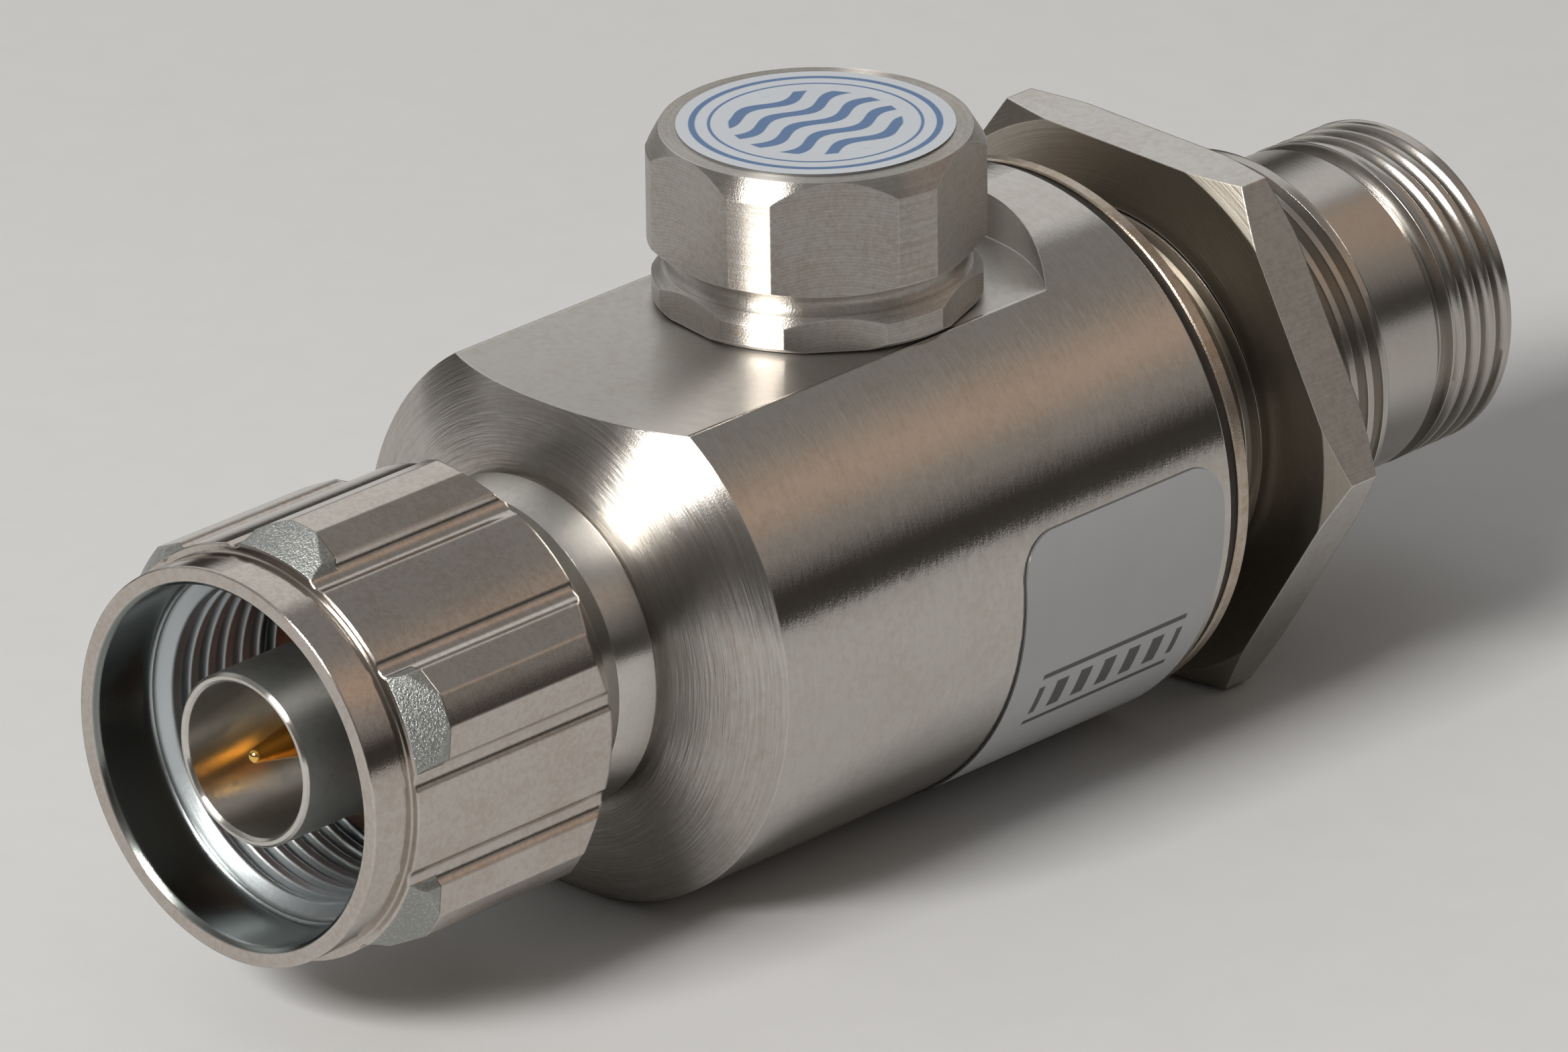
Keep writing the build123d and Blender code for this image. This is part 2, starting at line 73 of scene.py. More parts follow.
# Where one finish gives way to the next, in millimetres
ZONE_SOFTNESS = 0.06
BARREL_EDGE = (BODY_RADIUS - 0.10, BODY_RADIUS - 0.04)
FLAT_EDGE = (FLAT_Z - 0.06, FLAT_Z - 0.02)
CAP_FACE_INNER_RADIUS = 6.5
CAP_FACE_OUTER_RADIUS = 7.60
CAP_ARC_CENTRE_Z = FLAT_Z - 4.0
CAP_ARC_SPACING = 0.16
NUT_CONE_START_X = 1.3
NUT_CONE_END_X = 2.93
NUT_CONE_RADIUS = 9.66
NUT_BORE_RADIUS = 8.5
NUT_THREAD_START_X = 2.25


# Node graphs
class Graph:
    """Builds one node tree: each method returns an output socket."""

    def __init__(self, tree):
        self.tree = tree
        tree.nodes.clear()

    def add(self, kind, inputs=(), **settings):
        node = self.tree.nodes.new(kind)
        for name, value in settings.items():
            setattr(node, name, value)
        for key, value in dict(inputs).items():
            self.feed(node.inputs[key], value)
        return node

    def feed(self, socket, value):
        if isinstance(value, bpy.types.NodeSocket):
            self.tree.links.new(value, socket)
        else:
            socket.default_value = value

    def math(self, operation, *values):
        return self.add("ShaderNodeMath", dict(enumerate(values)), operation=operation).outputs[0]

    def total(self, *values):
        result = values[0]
        for value in values[1:]:
            result = self.math("ADD", result, value)
        return result

    def times(self, *values):
        result = values[0]
        for value in values[1:]:
            result = self.math("MULTIPLY", result, value)
        return result

    def span(self, value, low, high, to_low=0.0, to_high=1.0, smooth=False):
        kind = "SMOOTHSTEP" if smooth else "LINEAR"
        inputs = {0: value, 1: low, 2: high, 3: to_low, 4: to_high}
        return self.add("ShaderNodeMapRange", inputs, interpolation_type=kind).outputs[0]

    def band(self, value, low, high, soft=0.03):
        """1 between low and high, with soft edges."""
        up = self.span(value, low - soft, low + soft)
        down = self.span(value, high - soft, high + soft, 1.0, 0.0)
        return self.times(up, down)

    def mix(self, factor, first, second):
        node = self.add("ShaderNodeMix", {0: factor, 6: first, 7: second}, data_type="RGBA")
        return node.outputs[2]

    def vector(self, x=0.0, y=0.0, z=0.0):
        return self.add("ShaderNodeCombineXYZ", {0: x, 1: y, 2: z}).outputs[0]

    def split(self, vector):
        return list(self.add("ShaderNodeSeparateXYZ", {0: vector}).outputs)

    def place(self):
        """The point on the object in millimetres, as x, y and z."""
        point = self.add("ShaderNodeTexCoord").outputs["Object"]
        return [self.times(part, 1000.0) for part in self.split(point)]

    def facing(self):
        """The normal in the object's frame, as x, y and z."""
        return self.split(self.add("ShaderNodeTexCoord").outputs["Normal"])

    def noise(self, vector, scale, detail=3.0, rough=0.6, w=None):
        kind = "3D" if w is None else "4D"
        node = self.add("ShaderNodeTexNoise", noise_dimensions=kind)
        inputs = {"Vector": vector, "Scale": scale, "Detail": detail, "Roughness": rough}
        if w is not None:
            inputs["W"] = w
        for key, value in inputs.items():
            self.feed(node.inputs[key], value)
        return node.outputs["Fac"]

    def around(self, place, axis, centre=0.0):
        """Radius, cosine and sine of a point about a turning axis: X, or Z through x = centre."""
        first, second = (place[1], place[2]) if axis == "X" else (place[0], place[1])
        if axis == "Z":
            first = self.math("SUBTRACT", first, centre)
        squares = self.total(self.math("POWER", first, 2.0), self.math("POWER", second, 2.0))
        radius = self.math("MAXIMUM", self.math("SQRT", squares), 0.001)
        return radius, self.math("DIVIDE", first, radius), self.math("DIVIDE", second, radius)

    def output(self, shader):
        node = self.add("ShaderNodeOutputMaterial")
        self.tree.links.new(shader, node.inputs["Surface"])


def new_material(name):
    material = bpy.data.materials.new(name)
    material.use_nodes = True
    return material, Graph(material.node_tree)


def colour(red, green, blue):
    return (red, green, blue, 1.0)


def shaded(tone, factor):
    return tuple(part * factor for part in tone)


# Tool marks: each gives a height about 0, in millimetres
def lathe_marks(graph, place, axis="X", centre=0.0, fineness=7.0, wrap=1.5, depth=0.004):
    """Fine rings left by a lathe, broken up a little round the part."""
    radius, cosine, sine = graph.around(place, axis, centre)
    along = place[0] if axis == "X" else place[2]
    vector = graph.vector(
        graph.times(along, fineness), graph.times(radius, fineness), graph.times(cosine, wrap)
    )
    rings = graph.noise(vector, 1.0, 2.0, 0.6, w=graph.times(sine, wrap))
    return graph.times(graph.math("SUBTRACT", rings, 0.5), depth)


def circling(graph, place, axis="X", centre=0.0):
    """The direction of the rings at a point."""
    cosine, sine = graph.around(place, axis, centre)[1:]
    back = graph.times(sine, -1.0)
    return graph.vector(0.0, back, cosine) if axis == "X" else graph.vector(back, cosine, 0.0)


def on_barrel(graph, place):
    """1 on the smooth barrel of the body, 0 on its turned dome and milled flat."""
    outer = graph.span(graph.around(place, "X")[0], *BARREL_EDGE)
    return graph.times(outer, graph.span(place[0], BODY_FRONT_X, BODY_FRONT_X + ZONE_SOFTNESS))


def on_flat(graph, place):
    """1 on the milled flat."""
    level = graph.span(place[2], *FLAT_EDGE)
    return graph.times(level, graph.math("SUBTRACT", 1.0, on_barrel(graph, place)))


def body_marks(graph, place):
    """Rings on the dome, short streaks on the barrel, and rings round the cap on the flat."""
    barrel = on_barrel(graph, place)
    rings = lathe_marks(graph, place, fineness=8.0, wrap=4.0, depth=0.036)
    streaks = lathe_marks(graph, place, fineness=4.0, wrap=14.0, depth=0.009)
    milled = lathe_marks(graph, place, "Z", CAP_X, fineness=6.0, wrap=4.0, depth=0.006)
    flat = on_flat(graph, place)
    rings = graph.times(rings, graph.span(barrel, 0.0, 1.0, 1.0, 0.06))
    rings = graph.times(rings, graph.math("SUBTRACT", 1.0, flat))
    return graph.total(rings, graph.times(streaks, barrel), graph.times(milled, flat))


def body_turned(graph, place):
    """1 on the dome and the flat, where a tool left rings."""
    return graph.math("SUBTRACT", 1.0, on_barrel(graph, place))


def body_circling(graph, place):
    """The direction of the rings on the body, about X, and about the cap's axis on the flat."""
    flat = on_flat(graph, place)
    node = graph.add("ShaderNodeMix", {0: flat}, data_type="VECTOR")
    graph.feed(node.inputs[4], circling(graph, place))
    graph.feed(node.inputs[5], circling(graph, place, "Z", CAP_X))
    return node.outputs[1]


def cap_marks(graph, place):
    """Milled arcs on the cap's upright faces and lathe rings elsewhere."""
    rings = lathe_marks(graph, place, "Z", CAP_X, depth=0.012)
    facing = graph.facing()
    across = graph.math(
        "SUBTRACT",
        graph.times(place[1], facing[0]),
        graph.times(graph.math("SUBTRACT", place[0], CAP_X), facing[1]),
    )
    height = graph.math("SUBTRACT", place[2], CAP_ARC_CENTRE_Z)
    reach = graph.total(graph.math("POWER", across, 2.0), graph.math("POWER", height, 2.0))
    reach = graph.math("SQRT", reach)
    fine = graph.times(graph.math("SINE", graph.times(reach, TURN / CAP_ARC_SPACING)), 0.0008)
    arcs = graph.noise(graph.vector(graph.times(reach, 4.0)), 1.0, 2.0, 0.5)
    arcs = graph.math("ADD", fine, graph.times(graph.math("SUBTRACT", arcs, 0.5), 0.005))
    radius = graph.around(place, "Z", CAP_X)[0]
    upright = graph.span(graph.math("ABSOLUTE", facing[2]), 0.05, 0.15, 1.0, 0.0)
    inner = graph.span(radius, CAP_FACE_INNER_RADIUS, CAP_FACE_INNER_RADIUS + 0.1)
    outer = graph.span(
        radius, CAP_FACE_OUTER_RADIUS, CAP_FACE_OUTER_RADIUS + ZONE_SOFTNESS, 1.0, 0.0
    )
    flat_side = graph.times(upright, outer, inner)
    return graph.total(
        graph.times(arcs, flat_side), graph.times(rings, graph.math("SUBTRACT", 1.0, flat_side))
    )


def cap_circling(graph, place):
    return circling(graph, place, "Z", CAP_X)


def drawn_side(graph):
    """1 on faces that run along the object."""
    return graph.span(graph.math("ABSOLUTE", graph.facing()[0]), 0.10, 0.30, 1.0, 0.0)


def hex_marks(graph, place):
    """Turned face and straight-drawn sides of a bar nut."""
    rings = lathe_marks(graph, place, depth=0.012)
    lines = graph.vector(
        graph.times(place[0], 0.5), graph.times(place[1], 6.0), graph.times(place[2], 6.0)
    )
    drawn = graph.times(graph.math("SUBTRACT", graph.noise(lines, 1.0, 2.0, 0.6), 0.5), 0.004)
    side = drawn_side(graph)
    return graph.total(
        graph.times(drawn, side), graph.times(rings, graph.math("SUBTRACT", 1.0, side))
    )


def hex_dark_reflection(graph, place):
    """1 on the rougher turned face of the bar nut, whose tone is painted dark as a painted reflection.
    """
    return graph.math("SUBTRACT", 1.0, drawn_side(graph))


# Tones of the metals
PLATING = (0.58, 0.56, 0.53)
STAIN = (0.45, 0.38, 0.31)
BROWN_STAIN = (0.42, 0.34, 0.28)
# Pale tone on rounded edges: partly wear, partly a painted highlight.
WORN_EDGE_GLINT = (0.86, 0.84, 0.80)
DARK_PIT = (0.30, 0.32, 0.31)
PALE_SPOT = (0.50, 0.52, 0.51)
# Painted dark reflection on the turned face of the bar nut.
DARK_REFLECTION_TONE = (0.29, 0.26, 0.21)
SCRATCH = (0.66, 0.62, 0.54)
# Painted shade in the counterbore of the coupling nut; the thread behind it is lighter.
BORE_PAINTED_SHADE = (0.22, 0.24, 0.23)
THREAD_TONE = (0.52, 0.56, 0.58)
# Painted shadow on the edge faces of the labels.
EDGE_SHADOW_TONE = (0.10, 0.10, 0.10)


# Parts of the metal's graph
SPREAD = 0.97
GRAIN_SCALE = 11.0


def softened(graph, edge):
    """The normal with its edges rounded, and 1 where the rounding bends it."""
    soft = graph.add("ShaderNodeBevel", {"Radius": edge * MM}, samples=6).outputs[0]
    true = graph.add("ShaderNodeNewGeometry").outputs["True Normal"]
    inputs = {0: soft, 1: true}
    likeness = graph.add("ShaderNodeVectorMath", inputs, operation="DOT_PRODUCT").outputs["Value"]
    return soft, graph.span(likeness, 0.995, 0.95)


def stains_on(graph, point, blotch, amount):
    """The share of the stain at a point: small blotches that thicken in wide clouds."""
    cloud = graph.noise(point, 0.35, 3.0, 0.6)
    stained = graph.total(blotch, graph.span(cloud, 0.3, 0.7, -0.08, 0.08))
    return graph.times(graph.span(stained, 0.40, 0.66, smooth=True), amount)


def along_marks(graph, direction):
    """The shader inputs that stretch reflections across the tool marks."""
    turned_to_world = graph.add(
        "ShaderNodeVectorTransform", {0: direction}, vector_type="VECTOR",
        convert_from="OBJECT", convert_to="WORLD",
    ).outputs[0]
    return {"Anisotropic Rotation": 0.25, "Tangent": turned_to_world}


def metal(
    name,
    marks=lathe_marks,
    turned=None,
    tangent=circling,
    base=PLATING,
    stain=STAIN,
    stain_amount=0.3,
    stain_scale=2.2,
    smooth_gloss=0.12,
    turned_gloss=0.36,
    mark_tone=0.0,
    grain_depth=0.0025,
    edge=0.10,
    edge_light=0.5,
    rough_zone=None,
    dark_reflection_zone=None,
    bore_shade_zone=None,
):
    """Plated metal: tool marks, fine grain, stains, and softened edges painted brighter, partly as
    wear and partly as a painted highlight.

    Smooth faces are near mirrors broken by the grain. Turned faces spread light across their marks."""
    material, graph = new_material(name)
    place = graph.place()
    point = graph.vector(*place)
    tooling = marks(graph, place)
    grain = graph.noise(point, GRAIN_SCALE, 2.0, 0.6)
    blotch = graph.noise(point, stain_scale, 5.0, 0.75)
    soft, rounding = softened(graph, edge)
    # Share of wear and painted highlight on each rounded edge.
    wear_and_glint = graph.times(rounding, edge_light)
    stained = stains_on(graph, point, blotch, stain_amount)
    tone = graph.mix(stained, colour(*base), colour(*stain))
    # Painted shade inside a bore: this zone takes a darker tone.
    if bore_shade_zone:
        bore_shade, bore_shade_tone, haze = bore_shade_zone(graph, place)
        tone = graph.mix(bore_shade, tone, bore_shade_tone)
    if mark_tone:
        furrow = graph.span(tooling, -mark_tone, mark_tone, 0.30, 0.0)
        tone = graph.mix(furrow, tone, colour(*shaded(stain, 0.6)))
    uneven = graph.span(blotch, 0.3, 0.75, -0.015, 0.03)
    height = graph.total(tooling, graph.times(grain, grain_depth))
    inputs = {"Metallic": 1.0}
    gloss = smooth_gloss
    if turned == "all":
        gloss = turned_gloss
        inputs["Anisotropic"] = SPREAD
    elif turned:
        share = turned(graph, place)
        gloss = graph.span(share, 0.0, 1.0, smooth_gloss, turned_gloss)
        inputs["Anisotropic"] = graph.times(share, SPREAD)
    if turned:
        inputs.update(along_marks(graph, tangent(graph, place)))
    gloss = graph.math("ADD", uneven, gloss)
    if rough_zone:
        zone = rough_zone(graph, place)
        speckle = graph.noise(point, 8.0, 3.0, 0.7)
        spots = graph.span(speckle, 0.50, 0.66)
        gloss = graph.math("ADD", gloss, graph.times(zone, 0.18))
        height = graph.math("ADD", height, graph.times(speckle, zone, 0.06))
        pitted = graph.mix(spots, colour(*DARK_PIT), colour(*PALE_SPOT))
        tone = graph.mix(graph.times(zone, 0.85), tone, pitted)
    if bore_shade_zone:
        gloss = graph.math("ADD", gloss, graph.times(bore_shade, haze))
    # Painted reflection: this zone is rougher and gets a painted dark brown tone, with lighter
    # scratches.
    if dark_reflection_zone:
        zone = dark_reflection_zone(graph, place)
        gloss = graph.math("ADD", gloss, graph.times(zone, 0.12))
        tone = graph.mix(graph.times(zone, 0.75), tone, colour(*DARK_REFLECTION_TONE))
        scratches = graph.times(graph.span(tooling, 0.0015, 0.0035), graph.span(grain, 0.45, 0.60))
        tone = graph.mix(graph.times(zone, scratches, 0.7), tone, colour(*SCRATCH))
    # Rounded edges lightened toward a pale tone: wear and a painted highlight.
    tone = graph.mix(wear_and_glint, tone, colour(*WORN_EDGE_GLINT))
    bump = graph.add(
        "ShaderNodeBump", {"Height": height, "Distance": MM, "Strength": 1.0, "Normal": soft}
    ).outputs[0]
    inputs["Base Color"] = tone
    inputs["Roughness"] = graph.math("MAXIMUM", gloss, 0.04)
    inputs["Normal"] = bump
    shader = graph.add("ShaderNodeBsdfPrincipled", inputs)
    graph.output(shader.outputs[0])
    return material


MOTTLE_SCALE = 4.0
PORE_SCALE = 24.0
PORE_DEPTH = 0.01


def plain(name, first, second, roughness, sss=0.0):
    """Moulded or sintered stuff: two near colours, a little bump and uneven gloss."""
    material, graph = new_material(name)
    point = graph.vector(*graph.place())
    blotch = graph.noise(point, MOTTLE_SCALE, 4.0, 0.6)
    fine = graph.noise(point, PORE_SCALE, 2.0, 0.5)
    tone = graph.mix(graph.span(blotch, 0.35, 0.65), colour(*first), colour(*second))
    bump = graph.add(
        "ShaderNodeBump", {"Height": fine, "Distance": PORE_DEPTH * MM, "Strength": 1.0}
    ).outputs[0]
    inputs = {
        "Base Color": tone,
        "Roughness": graph.span(fine, 0.3, 0.7, roughness - 0.06, roughness + 0.06),
        "Normal": bump,
        "Subsurface Weight": sss,
    }
    shader = graph.add("ShaderNodeBsdfPrincipled", inputs)
    graph.output(shader.outputs[0])
    return material


def film(name, paper, ink, drawing):
    """Satin printed film with faint mottling, a soft sheen, and its cut edge painted dark as painted
    shadow.
    """
    material, graph = new_material(name)
    place = graph.place()
    printed, level = drawing(graph, place)
    # Painted shadow: the film's edge faces are painted dark, as the shade of its thickness.
    edge_shadow = graph.span(level, 0.80, 0.90, 1.0, 0.0)
    point = graph.vector(*place)
    fine = graph.noise(point, 9.0, 3.0, 0.6)
    cloudy = graph.noise(point, 0.35, 3.0, 0.6)
    paper_tone = graph.mix(cloudy, colour(*paper), colour(*shaded(paper, 0.90)))
    ink_tone = graph.mix(fine, colour(*ink), colour(*shaded(ink, 0.8)))
    tone = graph.mix(printed, paper_tone, ink_tone)
    tone = graph.mix(edge_shadow, tone, colour(*EDGE_SHADOW_TONE))
    bump = graph.add(
        "ShaderNodeBump", {"Height": fine, "Distance": 0.003 * MM, "Strength": 1.0}
    ).outputs[0]
    inputs = {
        "Base Color": tone,
        "Roughness": graph.span(fine, 0.3, 0.7, 0.30, 0.42),
        "Normal": bump,
        "Coat Weight": 0.4,
        "Coat Roughness": 0.25,
    }
    shader = graph.add("ShaderNodeBsdfPrincipled", inputs)
    graph.output(shader.outputs[0])
    return material


# Meshes, from outlines and rings in millimetres
SEGMENTS = 240
CORNER_STEPS = 2
CREASE_ANGLE = math.radians(24)


def rounded(outline, radius=0.08):
    """The closed outline (x, radius) with each corner cut by a small arc."""
    result = []
    count = len(outline)
    for i in range(count):
        before, here, after = (np.array(outline[(i + d) % count], float) for d in (-1, 0, 1))
        one, two = before - here, after - here
        len_one, len_two = np.linalg.norm(one), np.linalg.norm(two)
        cut = min(radius, 0.4 * len_one, 0.4 * len_two)
        a, b = here + one / len_one * cut, here + two / len_two * cut
        for step in range(CORNER_STEPS + 1):
            t = step / CORNER_STEPS
            result.append(tuple((1 - t) ** 2 * a + 2 * t * (1 - t) * here + t**2 * b))
    return result


def ring(x, radius):
    """One plain ring of points about X."""
    angles = np.arange(SEGMENTS) * TURN / SEGMENTS
    return np.stack([np.full(SEGMENTS, x), radius * np.cos(angles), radius * np.sin(angles)], 1)


def thread_rings(x_from, x_to, radius, depth, profile, fade):
    """Rings that follow a helix from x_from to x_to, with the groove dying out at both ends.

    The profile lists (share of the pitch, share of the depth)."""
    angles = np.arange(SEGMENTS) * TURN / SEGMENTS
    lead = PITCH * np.arange(SEGMENTS) / SEGMENTS
    turns = int(math.ceil((x_to - x_from) / PITCH)) + 1
    rings = []
    for turn in range(-1, turns):
        for share, drop in profile:
            x = x_from + (turn + share) * PITCH + lead
            kept = np.clip(x, x_from, x_to)
            amount = np.clip(np.minimum(x - x_from, x_to - x) / fade, 0, 1)
            amount = amount * amount * (3 - 2 * amount)
            radii = radius + depth * drop * amount
            rings.append(np.stack([kept, radii * np.cos(angles), radii * np.sin(angles)], 1))
    return rings


def join_rings(name, sections):
    """A closed skin through sections of rings, each given with its rings per turn of thread.

    At the seam a thread's ring meets the one a turn further on, and a plain ring meets itself."""
    rings, meets = [], []
    for section, per_turn in sections:
        first = len(rings)
        last = first + len(section) - 1
        meets += [min(i + per_turn, last) for i in range(first, last + 1)]
        rings += section
    count, seam = len(rings), SEGMENTS - 1
    faces = []
    for i in range(count):
        j = (i + 1) % count
        low, high = i * SEGMENTS, j * SEGMENTS
        for k in range(seam):
            faces.append((low + k, high + k, high + k + 1, low + k + 1))
        faces.append((low + seam, high + seam, meets[j] * SEGMENTS, meets[i] * SEGMENTS))
    return make_piece(name, np.concatenate(rings), faces)


def make_piece(name, points, faces):
    """A smooth mesh with creases, from points in millimetres."""
    mesh = bpy.data.meshes.new(name)
    mesh.from_pydata([tuple(p) for p in np.asarray(points) * MM], [], faces)
    work = bmesh.new()
    work.from_mesh(mesh)
    bmesh.ops.remove_doubles(work, verts=work.verts, dist=1e-7)
    bmesh.ops.dissolve_degenerate(work, edges=work.edges, dist=1e-7)
    bmesh.ops.recalc_face_normals(work, faces=work.faces)
    work.to_mesh(mesh)
    work.free()
    mesh.shade_smooth()
    mesh.set_sharp_from_angle(angle=CREASE_ANGLE)
    piece = bpy.data.objects.new(name, mesh)
    bpy.context.scene.collection.objects.link(piece)
    return piece


# Thread profiles: share of the pitch, and share of the depth
OUTSIDE = [(0.0, 0.0), (0.36, 0.0), (0.60, -1.0), (0.76, -1.0)]
INSIDE = [(0.0, 0.0), (0.40, 0.0), (0.62, 1.0), (0.80, 1.0)]
ROUND = [
    (0.0, 0.0), (0.22, 0.0), (0.36, -0.12), (0.48, -0.55),
    (0.58, -1.0), (0.72, -1.0), (0.82, -0.55), (0.93, -0.12),
]


def plain_rings(outline):
    return [ring(x, radius) for x, radius in outline]


def thread_section(x_from, x_to, radius, depth, profile, fade):
    return thread_rings(x_from, x_to, radius, depth, profile, fade), len(profile)


# Thread inside the coupling nut, with its outer skin just under the wall of the bore
NUT_BACK_X = NUT_LIP_X - 0.065
NUT_SKIN_RADIUS = 8.03
NUT_THREAD_RADIUS = 7.44
NUT_THREAD_DEPTH = 0.50
NUT_LEAD_IN = [(2.66, NUT_SKIN_RADIUS), (2.40, 8.27), (2.52, 8.02), (2.85, 7.50)]
NUT_THREAD_X = 2.95
nut_thread = join_rings("coupling_thread", [
    (plain_rings([(NUT_BACK_X, NUT_SKIN_RADIUS), *NUT_LEAD_IN]), 0),
    thread_section(
        NUT_THREAD_X, NUT_BACK_X - 0.05, NUT_THREAD_RADIUS, NUT_THREAD_DEPTH, INSIDE, fade=0.35
    ),
])
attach(nut_thread, "coupling")

# Threads of the bulkhead and of the jack, on the jack's own barrel
BULKHEAD_LENGTH = 15.18
BULKHEAD_CHAMFER = 0.6
SMOOTH_LENGTH = 4.82
RELIEF_LENGTH = 1.1
RELIEF_DEPTH = 0.6
RELIEF_SLOPE = 0.3
JACK_END_CHAMFER = 0.8
THROAT_LENGTH = 2.0
SPIGOT_RADIUS = 7.2
LINE_RADIUS = 5.0
JACK_RADIUS = 7.9375
JACK_END_RADIUS = 7.2
JACK_BORE_RADIUS = 4.2
THROAT_RADIUS = 3.5
THREAD_DEPTH = 0.52
BULKHEAD_RUN_OUT_RADIUS = 9.5
JACK_RUN_OUT_RADIUS = 7.7
SPIGOT_X, JACK_RIM_X = reach("jack_barrel", X)
BULKHEAD_RADIUS = reach("jack_barrel", Z)[1]
INNER_STEP_X = reach("jack_insulator", X)[1]
THREAD_END_X = BODY_REAR_X + BULKHEAD_LENGTH
THROAT_X = INNER_STEP_X + THROAT_LENGTH
RELIEF_X = THREAD_END_X + SMOOTH_LENGTH
JACK_THREAD_X = RELIEF_X + RELIEF_LENGTH
JACK_CHAMFER_X = JACK_RIM_X - JACK_END_CHAMFER
RELIEF_RADIUS = JACK_RADIUS - RELIEF_DEPTH
front = rounded([
    (INNER_STEP_X, LINE_RADIUS), (SPIGOT_X, LINE_RADIUS), (SPIGOT_X, SPIGOT_RADIUS),
    (BODY_REAR_X, SPIGOT_RADIUS), (BODY_REAR_X, BULKHEAD_RADIUS),
])
middle = rounded([
    (THREAD_END_X - 0.45, BULKHEAD_RUN_OUT_RADIUS),
    (THREAD_END_X, BULKHEAD_RADIUS - BULKHEAD_CHAMFER), (THREAD_END_X, JACK_RADIUS),
    (RELIEF_X, JACK_RADIUS), (RELIEF_X + RELIEF_SLOPE, RELIEF_RADIUS),
    (JACK_THREAD_X - RELIEF_SLOPE, RELIEF_RADIUS), (JACK_THREAD_X, JACK_RADIUS),
], radius=0.06)
tail = rounded([
    (JACK_CHAMFER_X + 0.3, JACK_RUN_OUT_RADIUS), (JACK_RIM_X, JACK_END_RADIUS),
    (JACK_RIM_X, JACK_BORE_RADIUS), (THROAT_X, JACK_BORE_RADIUS),
    (THROAT_X, THROAT_RADIUS), (INNER_STEP_X, THROAT_RADIUS),
])
barrel = join_rings("jack_barrel_threaded", [
    (plain_rings(front), 0),
    thread_section(
        BODY_REAR_X + 0.1, THREAD_END_X - 0.5, BULKHEAD_RADIUS, THREAD_DEPTH, OUTSIDE, fade=0.5
    ),
    (plain_rings(middle), 0),
    thread_section(
        JACK_THREAD_X + 0.05, JACK_CHAMFER_X + 0.25, JACK_RADIUS, THREAD_DEPTH, ROUND, fade=0.45
    ),
    (plain_rings(tail), 0),
])
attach(barrel, "main")
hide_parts("jack_barrel")


# Prints on the two films, in millimetres
OUTER_RING = (5.45, 5.75)
INNER_RING = (4.75, 4.90)
BARS_EDGE = (3.9, 3.98)
BAR_REACH = 0.75
BAR_INK = (0.43, 1.2)
WAVE_LENGTH = TURN / 1.6
WAVE_HEIGHT = 0.35
LABEL_RADIUS = BODY_RADIUS + FILM_THICKNESS
PRINT_START_X = 38.2
PRINT_END_X = 47.8
UPPER_RULE = (25.6, 25.9)
LOWER_RULE = (28.6, 28.9)
SHORT_BARS = (26.4, 28.1)
SHORT_BAR_REACH = 0.8
SHORT_BAR_INK = (-1.0, 0.4)


def cap_drawing(graph, place):
    """Wavy blue bars inside two thin rings."""
    radius = graph.around(place, "Z", CAP_X)[0]
    x = graph.math("SUBTRACT", place[0], CAP_X)
    rings = graph.math("MAXIMUM", graph.band(radius, *OUTER_RING), graph.band(radius, *INNER_RING))
    wave = graph.times(graph.math("SINE", graph.times(x, TURN / WAVE_LENGTH)), WAVE_HEIGHT)
    rows = graph.math("PINGPONG", graph.total(place[1], wave, BAR_REACH), BAR_REACH)
    bars = graph.times(graph.band(rows, *BAR_INK), graph.span(radius, *BARS_EDGE, 1.0, 0.0))
    return graph.math("MAXIMUM", rings, bars), graph.facing()[2]


def side_drawing(graph, place):
    """Two thick rules with a row of short bars between them."""
    angle = graph.math("ARCTAN2", graph.times(place[1], -1.0), place[2])
    around = graph.times(angle, LABEL_RADIUS)
    along = graph.band(place[0], PRINT_START_X, PRINT_END_X)
    rules = graph.math("MAXIMUM", graph.band(around, *UPPER_RULE), graph.band(around, *LOWER_RULE))
    from_start = graph.math("SUBTRACT", place[0], PRINT_START_X)
    cell = graph.math("PINGPONG", from_start, SHORT_BAR_REACH)
    bars = graph.times(graph.band(cell, *SHORT_BAR_INK), graph.band(around, *SHORT_BARS))
    cosine, sine = graph.around(place, "X")[1:]
    facing = graph.facing()
    level = graph.math("ABSOLUTE", graph.total(
        graph.times(cosine, facing[1]), graph.times(sine, facing[2])
    ))
    return graph.times(graph.math("MAXIMUM", rules, bars), along), level


def nut_chamfer(graph, place):
    """The rough cone at the front corners of the coupling nut."""
    radius = graph.around(place, "X")[0]
    outer = graph.span(radius, NUT_CONE_RADIUS, NUT_CONE_RADIUS + 0.04)
    return graph.times(graph.band(place[0], NUT_CONE_START_X, NUT_CONE_END_X), outer)


def nut_bore_shade(graph, place):
    """The inside of the coupling nut: its zone, its tone with painted shade, and its added roughness.

    The counterbore is painted dark as painted shade and stays smooth, and the thread behind it takes a
    lighter, cooler tone and is hazy."""
    radius = graph.around(place, "X")[0]
    inside = graph.span(radius, NUT_BORE_RADIUS, NUT_BORE_RADIUS + 0.10, 1.0, 0.0)
    threaded = graph.span(place[0], NUT_THREAD_START_X, NUT_THREAD_START_X + 0.20)
    tone = graph.mix(threaded, colour(*BORE_PAINTED_SHADE), colour(*THREAD_TONE))
    return inside, tone, graph.span(threaded, 0.0, 1.0, 0.06, 0.22)


